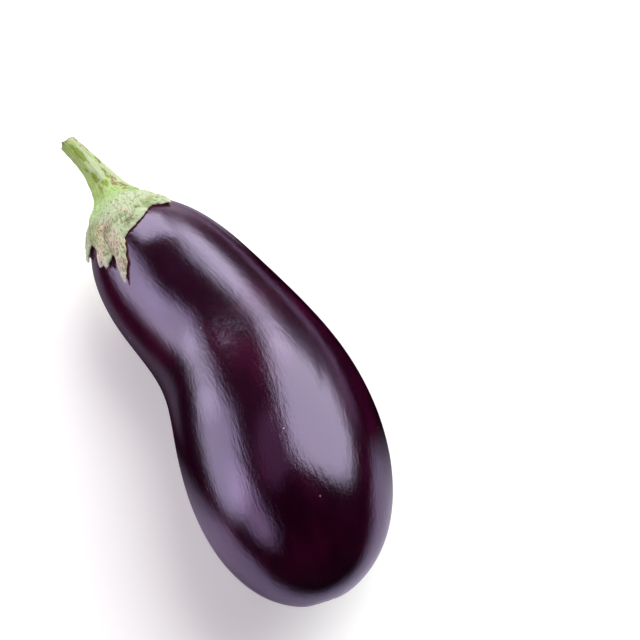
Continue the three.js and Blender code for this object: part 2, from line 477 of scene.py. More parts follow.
def colour(red: int, green: int, blue: int, gain: float = 1.0) -> tuple[float, float, float, float]:
    """Display colour from 0 to 255 as the linear colour that a shader takes, times a gain.

    Args:
        red: red channel.
        green: green channel.
        blue: blue channel.
        gain: what the linear colour is multiplied by.

    Returns:
        Red, green, blue and 1.
    """
    shares = np.array([red, green, blue]) / 255
    linear = np.where(shares > 0.04045, ((shares + 0.055) / 1.055) ** 2.4, shares / 12.92) * gain
    return (*linear.tolist(), 1.0)


# ---- finishes

# Under the studio's light a matt surface shows a display colour when its own colour is this share of it.
STUDIO_GAIN = 0.785


@dataclass(frozen=True)
class SkinFinish:
    """Taut waxy skin: nearly black purple with maroon clouds, a clear gloss that fine pores and lengthwise grain
    break up, and a few pale specks."""

    dark: tuple = (0.0104, 0.00024, 0.0052, 1)
    maroon: tuple = (0.038, 0.001, 0.0157, 1)
    collar: tuple = colour(120, 60, 80, 1.15)
    speck: tuple = colour(176, 140, 160, 1.15)
    scar: tuple = colour(92, 66, 58, 1.15)
    tint: tuple = (0.76, 0.64, 1.0, 1)
    gloss_roughness: float = 0.13
    haze: float = 0.07
    haze_roughness: float = 0.38
    index: float = 1.92
    haze_index: float = 1.3

    def material(self) -> bpy.types.Material:
        """Material with clouds, specks, collar line and scar, pores and grain as bumps.

        Returns:
            The material.
        """
        recipe = Recipe("skin")
        clouds = recipe.noise("unbent", (22, 22, 48), 2).between(0.38, 0.66)
        mottle = recipe.noise("unbent", (2.2, 2.2, 5), 4)
        chosen = recipe.noise("unbent", (4.1, 4.1, 4.1), 0).between(0.44, 0.56)
        specks = recipe.cells("unbent", (9, 9, 9)).between(0.045, 0.02) * chosen
        grain = recipe.noise("unbent", (1.1, 1.1, 5), 4, 0.6)
        pores = recipe.noise("unbent", (0.5, 0.5, 0.8), 2)
        scar = recipe.mark("scar")
        base = recipe.paint(
            self.dark,
            (clouds * 0.8 + mottle * 0.2, self.maroon),
            (specks, self.speck),
            (recipe.mark("collar") * 0.5, self.collar),
            (scar, self.scar),
        )
        return recipe.finished({
            "Base Color": base,
            "Roughness": mottle * 0.06 + (self.gloss_roughness - 0.03) + scar * 0.5,
            "IOR": self.index,
            "Specular Tint": self.tint,
            "Normal": recipe.bumps((grain, 0.095), (pores, 0.030), (specks, 0.03)),
            "Coat Weight": self.haze,
            "Coat Roughness": self.haze_roughness,
            "Coat IOR": self.haze_index,
        })


@dataclass(frozen=True)
class CalyxFinish:
    """Dry leafy calyx: pale mint green, tanned in patches and towards its torn tips, with lengthwise fibres."""

    mint: tuple = colour(186, 200, 162, STUDIO_GAIN)
    green: tuple = colour(158, 172, 112, STUDIO_GAIN)
    tan: tuple = colour(220, 211, 182, STUDIO_GAIN)
    brown: tuple = colour(150, 118, 78, STUDIO_GAIN)
    rosy: tuple = colour(220, 198, 180, STUDIO_GAIN)
    # Pale of the fibres, and also the painted highlight on the folds' crests.
    pale: tuple = colour(222, 226, 206, STUDIO_GAIN)
    dry: tuple = colour(236, 224, 222, STUDIO_GAIN)
    # Dark green of the dashes and fibres, and also the painted shade in the folds' valleys.
    shade: tuple = colour(100, 112, 60, STUDIO_GAIN)
    root: tuple = colour(170, 204, 132, STUDIO_GAIN)

    def material(self) -> bpy.types.Material:
        """Material with tanned patches, fibres, wrinkles and dry tips, painted shade in the folds' valleys and
        painted highlight on their crests.

        Returns:
            The material.
        """
        recipe = Recipe("calyx")
        clouds = recipe.noise("grain", (4.5, 4.5, 6), 4, 0.6)
        spread = recipe.noise("grain", (1.5, 1.5, 2.2), 5, 0.7)
        fibres = recipe.noise("grain", (0.36, 0.36, 3.0), 3, 0.6)
        dashes = recipe.noise("grain", (1.2, 0.9, 1.9), 4, 0.65)
        tanned, rooted = recipe.mark("tan"), recipe.mark("rooted")
        base = recipe.paint(
            self.mint,
            ((clouds + recipe.mark("green") * 0.3).between(0.50, 0.72) * 0.9, self.green),
            ((spread * 0.9 + tanned * 0.62).between(0.64, 0.94) * 0.95, self.tan),
            ((clouds * 0.6 + spread * 0.5 + tanned * 0.3).between(0.70, 0.86) * 0.7, self.rosy),
            ((dashes * 0.8 + spread * 0.2 + tanned * 0.10).between(0.58, 0.67) * 0.9, self.brown),
            ((dashes - clouds * 0.2).between(0.36, 0.26) * 0.8, self.shade),
            (recipe.mark("bleach") * 0.9, self.dry),
            # Painted shade: the valleys between the folds are darkened by the relief's depth.
            (recipe.mark("valley_shade") * 0.75, self.shade),
            # Painted highlight: the crests of the folds are lightened by the relief's height.
            (recipe.mark("crest_highlight") * 0.85, self.pale),
            (rooted * (1 - clouds * 0.4), self.root),
            (fibres.between(0.54, 0.66) * 0.55, self.pale),
            (fibres.between(0.45, 0.35) * (0.4 + rooted * 0.3), self.shade),
        )
        return recipe.finished({
            "Base Color": base,
            "Roughness": 0.78 - fibres * 0.12,
            "Specular IOR Level": 0.35,
            "Normal": recipe.bumps((fibres, 0.20), (spread, 0.7)),
        })


@dataclass(frozen=True)
class StemFinish:
    """Fibrous stem: olive green with pale waxy streaks, vivid green spots, brown scuffs, and a brown cut end."""

    olive: tuple = colour(168, 194, 104, STUDIO_GAIN)
    pale: tuple = colour(184, 198, 154, STUDIO_GAIN)
    vivid: tuple = colour(128, 152, 26, STUDIO_GAIN)
    mint: tuple = colour(162, 196, 118, STUDIO_GAIN)
    brown: tuple = colour(132, 102, 60, STUDIO_GAIN)
    thread: tuple = colour(82, 112, 46, STUDIO_GAIN)
    cut: tuple = colour(176, 172, 130, STUDIO_GAIN)

    def material(self) -> bpy.types.Material:
        """Material with blotches, specks, threads and a cut end.

        Returns:
            The material.
        """
        recipe = Recipe("stem")
        clouds = recipe.noise("grain", (2.2, 2.2, 3.6), 4, 0.65)
        spots = recipe.noise("grain", (1.1, 1.1, 1.8), 4, 0.65)
        scuffs = recipe.noise("grain", (0.8, 0.8, 1.3), 4, 0.65)
        threads = recipe.noise("grain", (0.30, 0.30, 4.5), 3, 0.6)
        foot = recipe.mark("foot")
        base = recipe.paint(
            self.olive,
            ((clouds * 1.4 + recipe.mark("pale") * 0.55).between(0.66, 1.02), self.pale),
            (foot * (1 - clouds * 0.5) * 0.9, self.mint),
            ((spots + recipe.mark("vivid") * 0.52).between(0.66, 0.86) * 0.95, self.vivid),
            ((scuffs + recipe.mark("brown") * 0.38).between(0.68, 0.80) * 0.85, self.brown),
            (threads.between(0.53, 0.66) * (0.30 + foot * 0.40), self.thread),
            (threads.between(0.44, 0.35) * 0.5, self.pale),
            (recipe.mark("cut"), recipe.blend(scuffs.between(0.4, 0.62), self.cut, self.brown)),
        )
        return recipe.finished({
            "Base Color": base,
            "Roughness": 0.66 + scuffs * 0.15,
            "Specular IOR Level": 0.4,
            "Normal": recipe.bumps((threads, 0.14), (scuffs, 0.25)),
        })


# ---- fruit


@dataclass(frozen=True)
class Lobing:
    """Shallow lobes round the fruit: how many, how deep as a share of the radius, and where the first one is."""

    count: int
    depth: float
    start: float


@dataclass(frozen=True)
class Dent:
    """Soft dent in the skin: its place along and round the fruit, its half lengths, its lean and its depth."""

    station: float
    around: float
    length: float
    width: float
    lean: float
    depth: float


@dataclass
class Fruit:
    """The fruit: a bent, bellied form that is round at both ends, and lies on a small flat spot."""

    centre_line: tuple = (
        (-14.9, 84.1, 32.7), (-5.4, 8.4, 34.4), (22, -7, 27.9), (-3.7, -62.6, 55.2), (-11.9, -124.2, 36.3),
    )
    girth: tuple = (51.2, 48.4, 27.8, 30.7, 41.1, 46.3, 54.7, 63.5)
    lobes: tuple = (Lobing(2, 0.009, 35), Lobing(3, 0.006, 80))
    dimple_depth: float = 1.2
    dimple_radius: float = 5
    rings: int = 320
    columns: int = 240
    undulation: Relief = Relief(0.16, (26, 26, 60), 2, 11)
    ripple: Relief = Relief(0.03, (5, 5, 9), 3, 21)
    scar_wobble: Relief = Relief(0.25, 1.4, 3, 51)
    scar_radius: float = 1.5
    scar_depth: float = 0.5
    pucker_height: float = 0.14
    puckers: int = 7
    pucker_seed: int = 56
    dents: tuple = (Dent(0.655, -28, 12, 2.6, 0.3, 0.16),)

    def radius(self, t: Array, angle: Array) -> Array:
        """2 sqrt(t (1 - t)) times the girth's Bezier number at t, times 1 + depth cos(count (angle - start)).

        Args:
            t: places on the centre line, from 0 to 1.
            angle: angles round it.

        Returns:
            Radii of the plain skin.
        """
        plain = 2 * np.sqrt(t * (1 - t)) * (bernstein(len(self.girth), t) @ np.array(self.girth))
        lobing = 1 + sum(lobe.depth * np.cos(lobe.count * (angle - math.radians(lobe.start))) for lobe in self.lobes)
        return plain * lobing

    def point(self, t: Array, angle: Array) -> Array:
        """Point of the plain skin: the section's point, drawn in along the centre line by the blossom dimple.

        Args:
            t: places on the centre line, from 0 to 1.
            angle: angles round it.

        Returns:
            Points of the plain skin.
        """
        t, angle = np.broadcast_arrays(np.asarray(t, float), np.asarray(angle, float))
        sections = sections_along(np.array(self.centre_line), t)
        radius = self.radius(t, angle)
        dimple = self.dimple_depth * hump(0, self.dimple_radius, radius) * (t > 0.5)
        return sections.point(radius, angle) - dimple[..., None] * sections.along

    def normal(self, t: Array, angle: Array, step: float = 1e-3) -> Array:
        """Direction out of the plain skin: its slope round the fruit x its slope down the fruit.

        Args:
            t: places on the centre line, from 0 to 1.
            angle: angles round it.
            step: how far apart the slopes' points are.

        Returns:
            Directions of length 1.
        """
        t = np.clip(t, 2 * step, 1 - 2 * step)
        round_slope = self.point(t, angle + step) - self.point(t, angle - step)
        down_slope = self.point(t + step, angle) - self.point(t - step, angle)
        return unit(np.cross(round_slope, down_slope))

    def length_table(self) -> tuple[Array, Array]:
        """Places t on the centre line and the distance from the stem end to each.

        Returns:
            The places and their distances.
        """
        t = np.linspace(0, 1, 2001)
        line = bernstein(len(self.centre_line), t) @ np.array(self.centre_line)
        steps = np.linalg.norm(np.diff(line, axis=0), axis=1)
        return t, np.concatenate([[0], np.cumsum(steps)])

    def length(self) -> float:
        """Length of the centre line."""
        return self.length_table()[1][-1]

    def station(self, distance: Array) -> Array:
        """Place t at a distance down the centre line."""
        t, lengths = self.length_table()
        return np.interp(distance, lengths, t)

    def unbent(self, t: Array, angle: Array) -> Array:
        """The fruit straightened out: (r cos(angle), r sin(angle), distance), for patterns that run along it."""
        return round_place(self.radius(t, angle), angle, np.interp(t, *self.length_table()))

    def blossom_relief(self, t: Array, angle: Array) -> Array:
        """Height at the blossom end: a small sunken scar, its raised rim, and puckers that fan out from it.

        Args:
            t: places on the centre line, from 0 to 1.
            angle: angles round it.

        Returns:
            Heights over the plain skin.
        """
        radius, place = self.radius(t, angle), self.unbent(t, angle)
        wobbling = radius * (1 + self.scar_wobble.at(place))
        scar = -self.scar_depth * np.exp(-((wobbling / self.scar_radius) ** 4))
        rim = 0.5 * self.scar_depth * hump(1.45 * self.scar_radius, 0.5, wobbling)
        folds = np.cos(self.puckers * angle + 2.2 * noise(place / 6, self.pucker_seed))
        puckers = self.pucker_height * folds * smooth(0.8, 2.6, radius) * hump(0, 5.5, radius)
        return (scar + rim + puckers) * (t > 0.5)

    def relief(self, t: Array, angle: Array) -> Array:
        """Height over the plain skin: soft lengthwise undulations, fine ripples, dents and the blossom scar.

        Args:
            t: places on the centre line, from 0 to 1.
            angle: angles round it.

        Returns:
            Heights over the plain skin.
        """
        place = self.unbent(t, angle)
        height = (self.undulation.at(place) + self.ripple.at(place)) * smooth(0.02, 0.12, t) * smooth(1.0, 0.99, t)
        for dent in self.dents:
            distance = dent.station * self.length()
            along = place[..., 2] - distance
            radius = self.radius(np.full_like(t, self.station(distance)), angle)
            across = turned(angle, math.radians(dent.around)) * radius - dent.lean * along
            height = height - dent.depth * hump(0, dent.length, along) * hump(0, dent.width, across)
        return height + self.blossom_relief(t, angle)

    def build(self, calyx: Calyx) -> bpy.types.Object:
        """Skin over rings at t = sin^2(pi/2 i/N), raised by the relief and pressed flat at z = 0.

        Args:
            calyx: the calyx, whose edge leaves a paler line on the skin.

        Returns:
            The fruit.
        """
        t = np.sin(np.pi / 2 * np.arange(1, self.rings) / self.rings)[:, None] ** 2
        angle = 2 * np.pi * np.arange(self.columns)[None, :] / self.columns
        t, angle = np.broadcast_arrays(t, angle)
        points = self.point(t, angle) + self.relief(t, angle)[..., None] * self.normal(t, angle)
        start, end = self.point(np.array([0.0, 1.0]), np.zeros(2))
        blossom = np.array(1.0), np.array(0.0)
        end = end + self.blossom_relief(*blossom) * self.normal(*blossom)
        skin = RingSkin(start, list(points), end)
        corners = skin.points()
        corners[:, 2] = np.maximum(corners[:, 2], 0)
        scar = smooth(1.25, 0.75, self.radius(t, angle) / self.scar_radius) * (t > 0.5)
        marks = {
            "unbent": with_ends(np.zeros(3), self.unbent(t, angle), [0, 0, self.length()]),
            "scar": with_ends(0, scar, 1),
            "collar": with_ends(0, calyx.collar(t, angle), 0),
        }
        return piece_from("fruit_skin", corners, skin.faces(), marks)


# ---- stem


@dataclass(frozen=True)
class Blotch:
    """Soft patch of another colour: its distance along the piece, its turn round it in degrees, its half length, its
    half width in degrees, and its strength."""

    distance: float
    turn: float
    length: float
    width: float
    strength: float = 1.0


def blotches(*rows: tuple) -> tuple[Blotch, ...]:
    """One blotch from each row of its values."""
    return tuple(Blotch(*row) for row in rows)


def cover(patches: tuple[Blotch, ...], distance: Array, turn: Array) -> Array:
    """Share of the strongest blotch at each place, from 0 to 1.

    Args:
        patches: the blotches.
        distance: distances along the piece.
        turn: turns round it, in degrees.

    Returns:
        One share for each place.
    """
    shares = [
        blotch.strength * hump(blotch.distance, blotch.length, distance)
        * hump(0, blotch.width, turned(turn, blotch.turn, 360))
        for blotch in patches
    ]
    return np.max(shares, axis=0)


@dataclass
class Stem:
    """The cut stem: a ridged, fibrous rod that flares towards the calyx and ends in a rough slanting cut."""

    fruit: Fruit
    tip: tuple = (-21.3, 122.9, 37.4)
    bend: tuple = (-14.4, 106.4, 35.2)
    straight: float = 4
    rod_radius: float = 3.7
    flare: float = 7.9
    flare_length: float = 12.5
    hip: float = 4.4
    hip_distance: float = 6.5
    ridges: int = 5
    ridge_depth: float = 0.05
    slant: float = 0.16
    bevel: float = 0.7
    gap: float = 0.3
    boss_thickness: float = 1
    seam: float = 2.6
    columns: int = 220
    rings: int = 230
    grain_radius: float = 6
    plug_depth: float = 0.3
    plug_radius: float = 5
    tucks: tuple = ((1.2, 1.4), (0.5, 0.5))
    cut_rings: int = 16
    cut_step: float = 0.2
    rim_share: float = 0.35
    splinter: float = 1.1
    splinter_angle: float = 5.6
    splinter_width: float = 0.28
    lumps: Relief = Relief(0.40, (5, 5, 9), 3, 70)
    cords: Relief = Relief(0.24, (1.3, 1.3, 11), 2, 80)
    fibres: Relief = Relief(0.08, (0.5, 0.5, 4), 2, 90)
    waver_radius: float = 2.2
    seam_waver: Relief = Relief(0.7, 1, 3, 100)
    torn: Relief = Relief(0.35, 0.9, 3, 120)
    vivid: tuple = blotches(
        (32, -14, 5, 24), (25, -36, 2.2, 16, 0.6), (20, -20, 3, 17), (12, -22, 4, 12, 0.8),
        (15, 6, 3.2, 14), (18, 30, 2, 10, 0.8), (22, 150, 8, 40),
    )
    brown: tuple = blotches(
        (33, 52, 3.2, 16, 0.9), (36.5, 44, 2.5, 14, 0.8), (27, 52, 2.4, 18, 0.8), (21, 36, 2.4, 12, 0.9),
        (17, 44, 2.4, 12), (13, 32, 3.0, 14), (10, 48, 3.5, 13), (5, 42, 4, 14, 0.9),
        (34, 30, 2.5, 30, 0.5), (12, 130, 6, 30, 0.8), (18, 210, 5, 25, 0.8),
    )
    pale: tuple = blotches((22, 15, 9, 38), (7, 72, 8, 26), (15, 62, 8, 28), (34, 40, 6, 40, 0.7))

    @cached_property
    def inward(self) -> Array:
        """Direction from the stem into the fruit."""
        return sections_along(np.array(self.fruit.centre_line), np.array(0.0)).along

    @cached_property
    def line(self) -> Array:
        """Control points of the stem's centre line, from its foot on the calyx's flat to the cut.

        Returns:
            Four control points.
        """
        top = np.array(self.fruit.centre_line[0]) - (self.gap + self.boss_thickness) * self.inward
        foot = top - self.gap * self.inward
        return np.array([foot, foot - self.straight * self.inward, self.bend, self.tip])

    @cached_property
    def length(self) -> float:
        """Straight distance from the foot to the cut."""
        return float(np.linalg.norm(self.line[3] - self.line[0]))

    def radius(self, distance: Array, angle: Array) -> Array:
        """(rod + flare exp(-distance / flare length) + hip) (1 + depth cos(ridges angle)), where the hip is
        height u exp(1 - u) ((1 + sin(angle)) / 2)^2 at u = distance / hip distance.

        Args:
            distance: distances from its foot.
            angle: angles round it.

        Returns:
            Radii of the plain rod.
        """
        plain = self.rod_radius + self.flare * np.exp(-distance / self.flare_length)
        steps = distance / self.hip_distance
        hip = self.hip * steps * np.exp(1 - steps) * ((1 + np.sin(angle)) / 2) ** 2
        return (plain + hip) * (1 + self.ridge_depth * np.cos(self.ridges * angle))

    def place(self, distance: Array, angle: Array) -> Array:
        """Pattern place that runs along the fibres, with one radius all along."""
        return round_place(self.grain_radius, angle, distance)

    def relief(self, distance: Array, angle: Array) -> Array:
        """Lumps, lengthwise cords and fine fibres, in millimetres over the plain rod."""
        place = self.place(distance, angle)
        return self.lumps.at(place) + self.cords.at(place) + self.fibres.at(place)

    def point(self, distance: Array, angle: Array, rise: Array | float = 0.0) -> Array:
        """Point of the stem's surface at a distance from its foot, raised by its relief and by rise.

        Args:
            distance: distances from its foot.
            angle: angles round it.
            rise: how much further out than the surface.

        Returns:
            Points of the surface.
        """
        distance, angle = np.broadcast_arrays(np.asarray(distance, float), np.asarray(angle, float))
        sections = sections_along(self.line, distance / self.length)
        return sections.point(self.radius(distance, angle) + self.relief(distance, angle) + rise, angle)

    def seam_distance(self, angle: Array) -> Array:
        """Where the calyx takes over from the stem, a wavering ring about the seam distance from the foot."""
        return self.seam + self.seam_waver.at(round_place(self.waver_radius, angle))

    def cut(self, angle: Array, shares: Array) -> list[Array]:
        """Rings of the slanting cut: a rounded, torn rim with a splinter, and a rough face.

        Args:
            angle: the columns' angles.
            shares: each ring's share of the rod's radius, from the rim inwards.

        Returns:
            The rings.
        """
        end = sections_along(self.line, np.array(1.0))
        length = np.array(self.length)
        outer = self.radius(length, angle) + self.relief(length, angle)
        rings = []
        for share in shares:
            flat = self.bevel + self.slant * self.rod_radius * (1 + share * np.cos(angle))
            torn = self.torn.at(round_place(outer * share, angle)) - 0.5 * hump(0.45, 0.3, share)
            height = min(1.0, self.rim_share + 1.1 * (1 - share)) * flat + torn * (1 - 0.4 * share)
            rings.append(end.point(outer * share, angle) + height[:, None] * end.along)
        splinter = self.splinter * hump(0, self.splinter_width, turned(angle, self.splinter_angle))
        rings[0] = rings[0] + (splinter * 0.4)[:, None] * end.along
        rings[1] = rings[1] + splinter[:, None] * end.along
        return rings

    def build(self) -> bpy.types.Object:
        """Skin from a plug in the calyx, up the rod, over the torn rim and across the cut.

        Returns:
            The stem.
        """
        angle = 2 * np.pi * np.arange(self.columns) / self.columns
        length, line = self.length, self.line
        seam = self.seam_distance(angle)
        distance = mix(seam[None, :], length, np.linspace(0, 1, self.rings)[:, None])
        foot = sections_along(line, np.full(self.columns, self.plug_depth / length))
        plug = [foot.point(np.full(self.columns, self.plug_radius), angle)]
        plug += [self.point(seam - below, angle, -inset) for below, inset in self.tucks]
        shares = np.linspace(1, 0.06, self.cut_rings) ** 0.8
        cuts = self.cut(angle, shares)
        start = line[0] + self.plug_depth * unit(line[1] - line[0])
        end = sections_along(line, np.array(1.0))
        middle = end.centre + (self.bevel + self.slant * self.rod_radius - 0.2) * end.along
        skin = RingSkin(start, [*plug, *self.point(distance, angle[None, :]), *cuts], middle)
        steps = length + self.cut_step * np.arange(1, self.cut_rings + 2)
        below = [np.full(self.columns, self.plug_depth), *(seam - below for below, _ in self.tucks)]
        reach = np.stack([*below, *distance, *(np.full(self.columns, step) for step in steps[:-1])])
        grain = self.place(reach, angle)
        grain[-self.cut_rings:, :, :2] *= shares[:, None, None]
        turn = np.degrees(angle)
        cut = np.zeros_like(reach)
        cut[-self.cut_rings:] = 1
        cut[-self.cut_rings - 1] = 0.6
        marks = {
            "grain": with_ends(np.zeros(3), grain, [0, 0, steps[-1]]),
            "foot": with_ends(1, smooth(15, 6, reach), 0),
            "vivid": with_ends(0, cover(self.vivid, reach, turn), 0),
            "brown": with_ends(0, cover(self.brown, reach, turn), 0),
            "pale": with_ends(0, cover(self.pale, reach, turn), 0),
            "cut": with_ends(0, cut, 1),
        }
        return piece_from("stem_rod", skin.points(), skin.faces(), marks)


# ---- calyx


class Corner(Enum):
    """What a corner of the torn edge is."""

    NOTCH = "notch"
    TIP = "tip"
    PLAIN = "plain"


NOTCH, TIP = Corner.NOTCH, Corner.TIP


@dataclass(frozen=True)
class EdgePlace:
    """Corner of the torn edge: the angle round the fruit, how far down it reaches, and how far it curls away."""

    around: float
    reach: float
    curl: float
    kind: Corner = Corner.PLAIN


def edge_places(*rows: tuple) -> tuple[EdgePlace, ...]:
    """One corner of the edge from each row of its values."""
    return tuple(EdgePlace(*row) for row in rows)


@dataclass(frozen=True)
class Columns:
    """Columns of the calyx, one number each: their turn at the boss, their place on the lobe's base and on the torn
    edge, the edge's curl, and how pale and dry the tip is."""

    turn: Array
    base_around: Array
    base_reach: Array
    around: Array
    reach: Array
    curl: Array
    bleach: Array


@dataclass
class Calyx:
    """The calyx: a leathery cap that flows out of the stem, hugs the shoulder and ends in torn, curling lobes."""

    fruit: Fruit
    stem: Stem
    edge: tuple = edge_places(
        (-56, 10.8, 0.1, NOTCH), (-44, 17.3, 0.3), (-34, 25.9, 0.7, TIP), (-23, 23.5, 0.4), (-18, 22.7, 0.3),
        (-11, 23, 0.2), (2.5, 26.6, 0.2), (19.8, 28.3, 0.2, NOTCH), (26.5, 33.4, 0.4), (33, 39.6, 0.6),
        (44.6, 46.2, 0.8, TIP), (40.4, 40.0, 0.5), (38, 35, 0.5), (38.6, 30.2, 0.4, NOTCH), (42, 32.4, 1.0),
        (44.4, 33.2, 1.5), (48.6, 34.4, 2.2, TIP), (50, 31.6, 1.9), (53, 31.4, 2.4, TIP), (48.6, 28.6, 1.4),
        (48, 25.6, 0.9), (52, 20.8, 0.6), (61, 15.0, 0.3, NOTCH), (69.5, 17.6, 0.8), (77, 19.4, 0.9, TIP),
        (88, 15.6, 1.6), (97, 13.4, 1.0), (108, 13.8, 0.3, NOTCH), (122, 23.3, 0.5), (134, 38.3, 1.2, TIP),
        (142, 28.3, 0.6), (153, 20.3, 0.3, NOTCH), (166, 26.3, 0.3), (179, 39.3, 0.5, TIP), (189, 28.3, 0.3),
        (201, 20.3, 0.3, NOTCH), (214, 26.3, 0.6), (226, 38.3, 1.6, TIP), (236, 27.3, 0.6),
        (243, 18.3, 0.4, NOTCH), (249, 22.3, 0.4), (254, 25.3, 0.5, TIP), (262, 16.8, 0.2), (274, 11.8, 0.1),
    )
    lobe_base: float = 0.95
    lobe_start: float = 2 / 3
    curl_start: float = 0.5
    body: float = 2.7
    rim: float = 0.5
    rim_width: float = 5
    rib_height: float = 0.35
    boss_radius: float = 12
    boss_flare: float = 0.6
    boss_flare_width: float = 4
    gap: float = 0.12
    neck_share: float = 0.12
    column_width: float = 0.62
    neck_rings: int = 26
    outer_rings: int = 84
    inner_rings: int = 12
    shoulder: float = 0.08
    grain_radius: float = 13
    seam_rise: float = 0.08
    cup_depth: float = 0.1
    cup_radii: tuple = (2.5, 5.4)
    seam_steps: tuple = ((-1.3, -1.2), (-0.3, -0.3), (0.35, 0.0))
    edge_bends: tuple = (30, 60, 90, 120, 150)
    nose_parts: tuple = (0.7, 0.35)
    neck_length: float = 16
    seam_join: float = 0.6
    front_green: float = 9.5
    back_green: float = 4
    green_blur: float = 0.7
    collar_width: float = 0.6
    tear: Relief = Relief(0.6, 3.4, 2, 130)
    fray: Relief = Relief(0.3, 1.1, 2, 135)
    flutter: Relief = Relief(0.45, 5.5, 2, 139)
    folds: Relief = Relief(0.42, (4.2, 4.2, 8), 3, 150)
    wrinkles: Relief = Relief(0.34, (1.9, 1.9, 5.5), 2, 160)
    fibres: Relief = Relief(0.07, (0.5, 0.5, 4), 2, 170)
    cross_folds: Relief = Relief(0.30, (5, 5, 1.7), 2, 180)
    tanned: tuple = blotches(
        (21, 34, 6, 11), (30, 31, 7, 9), (41, 37, 10, 9, 0.9), (20, 6, 5, 2.6, 0.8), (27, 48, 7, 8, 0.9),
        (24, -34, 2.5, 6, 0.6), (28, 134, 9, 14), (28, 179, 9, 14), (28, 226, 9, 14), (16, 160, 6, 30, 0.6),
    )
    greened: tuple = blotches((16, 48, 8, 14), (20, -18, 4, 9, 0.6), (12, 200, 8, 60))

    @cached_property
    def scale(self) -> float:
        """Millimetres to a degree round the fruit's shoulder."""
        return math.radians(1) * float(self.fruit.radius(np.array(self.shoulder), np.array(0.0)))

    @cached_property
    def boss_root(self) -> float:
        """Square root of the place t where the fruit is as wide as the boss."""
        return self.boss_radius / (2 * self.fruit.girth[0])

    @cached_property
    def columns(self) -> Columns:
        """Columns spaced evenly along the torn edge, from each corner to the next, frayed square to the edge.

        Returns:
            The columns.
        """
        first = self.edge[0]
        closed = [*self.edge, EdgePlace(first.around + 360, first.reach, first.curl, first.kind)]
        corners = np.array([[place.around, place.reach, place.curl] for place in closed])
        bleach = np.array([float(place.kind is TIP and place.curl > 0.7) for place in closed])
        lengths = np.hypot(np.diff(corners[:, 0]) * self.scale, np.diff(corners[:, 1]))
        counts = np.maximum(4, np.round(lengths / self.column_width).astype(int))
        knots = np.concatenate([[0], np.cumsum(counts)])
        index = np.arange(knots[-1])
        around, reach, curl = (np.interp(index, knots, corners[:, k]) for k in range(3))
        notches = np.array([k for k, place in enumerate(closed) if place.kind is NOTCH])
        base_around = np.interp(index, knots[notches], corners[notches, 0])
        base_reach = self.lobe_base * np.interp(index, knots[notches], corners[notches, 1])
        turn = corners[0, 0] + 360 * index / knots[-1]
        x, y = around * self.scale, reach
        slope_x, slope_y = np.roll(x, -1) - np.roll(x, 1), np.roll(y, -1) - np.roll(y, 1)
        slope_x[[0, -1]], slope_y[[0, -1]] = slope_x[[1, -2]], slope_y[[1, -2]]
        steep = np.hypot(slope_x, slope_y)
        ring = 2 * np.pi * index / knots[-1]
        place = round_place(knots[-1] * self.column_width / (2 * np.pi), ring)
        torn = self.tear.at(place) + self.fray.at(place)
        around = around - torn * slope_y / steep / self.scale
        reach = reach + torn * slope_x / steep
        curl = curl + np.abs(self.flutter.at(place)) * smooth(0.15, 0.5, curl)
        return Columns(turn, base_around, base_reach, around, reach, curl, np.interp(index, knots, bleach))

    def place(self, share: Array) -> tuple[Array, Array, Array]:
        """Place on the fruit at a share of each column: straight from the boss to the lobe's base, in root t and
        angle, and then straight on to the edge.

        Args:
            share: shares from 0 at the boss to 1 at the edge, one row each.

        Returns:
            Place t, angle and distance down the centre line.
        """
        columns = self.columns
        base_root, edge_root = (np.sqrt(self.fruit.station(reach)) for reach in (columns.base_reach, columns.reach))
        first, second = share / self.lobe_start, (share - self.lobe_start) / (1 - self.lobe_start)
        stops = (
            (self.boss_root, base_root, edge_root),
            (columns.turn, columns.base_around, columns.around),
            (0.0, columns.base_reach, columns.reach),
        )
        root, turn, distance = (
            np.where(share > self.lobe_start, mix(middle, end, second), mix(start, middle, first))
            for start, middle, end in stops
        )
        return root**2, np.radians(turn), distance

    def grain(self, distance: Array) -> Array:
        """Pattern place that runs along the columns, with one radius all along."""
        return round_place(self.grain_radius, np.radians(self.columns.turn), distance)

    def thickness(self, share: Array) -> Array:
        """Thin at the torn edge, thick over the body, ribbed like the stem, and flared towards the boss.

        Args:
            share: shares of the columns.

        Returns:
            Thicknesses.
        """
        t, angle, distance = self.place(share)
        from_boss = np.maximum(self.fruit.radius(t, angle) - self.boss_radius, 0)
        flare = self.boss_flare * np.exp(-from_boss / self.boss_flare_width)
        rib = self.rib_height * np.cos(self.stem.ridges * np.radians(self.columns.turn))
        full = 1 - np.exp(np.minimum(distance - self.columns.reach, 0) / self.rim_width)
        return mix(self.rim, self.body + flare + rib, full)

    def relief(self, distance: Array) -> Array:
        """Wrinkles and fibres of the outer face, in millimetres.

        Args:
            distance: distances down the fruit, one for each column in each row.

        Returns:
            Heights over the plain outer face.
        """
        place = self.grain(distance)
        slanted = place @ np.array([[1, 0, 0], [0, 1, 0], [0.45, -0.3, 1]])
        wrinkles = 0.1 - np.abs(self.wrinkles.at(slanted))
        cross = self.cross_folds.at(place) * hump(21, 10, distance)
        return self.folds.at(place) + wrinkles + self.fibres.at(place) + cross

    def over(self, share: Array, height: Array | float) -> Array:
        """Point at a height over the skin, with the column's curl growing towards its edge.

        Args:
            share: shares of the columns.
            height: heights over the inner face.

        Returns:
            The points.
        """
        t, angle, _ = self.place(share)
        curl = self.columns.curl * smooth(self.curl_start, 1, share) ** 2
        return self.fruit.point(t, angle) + (self.gap + curl + height)[..., None] * self.fruit.normal(t, angle)

    def outer(self, share: Array) -> Array:
        """Point of the outer face: thickness and relief over the inner face."""
        relief = self.relief(self.place(share)[2])
        return self.over(share, self.thickness(share) + relief * smooth(1.06, 0.94, share))

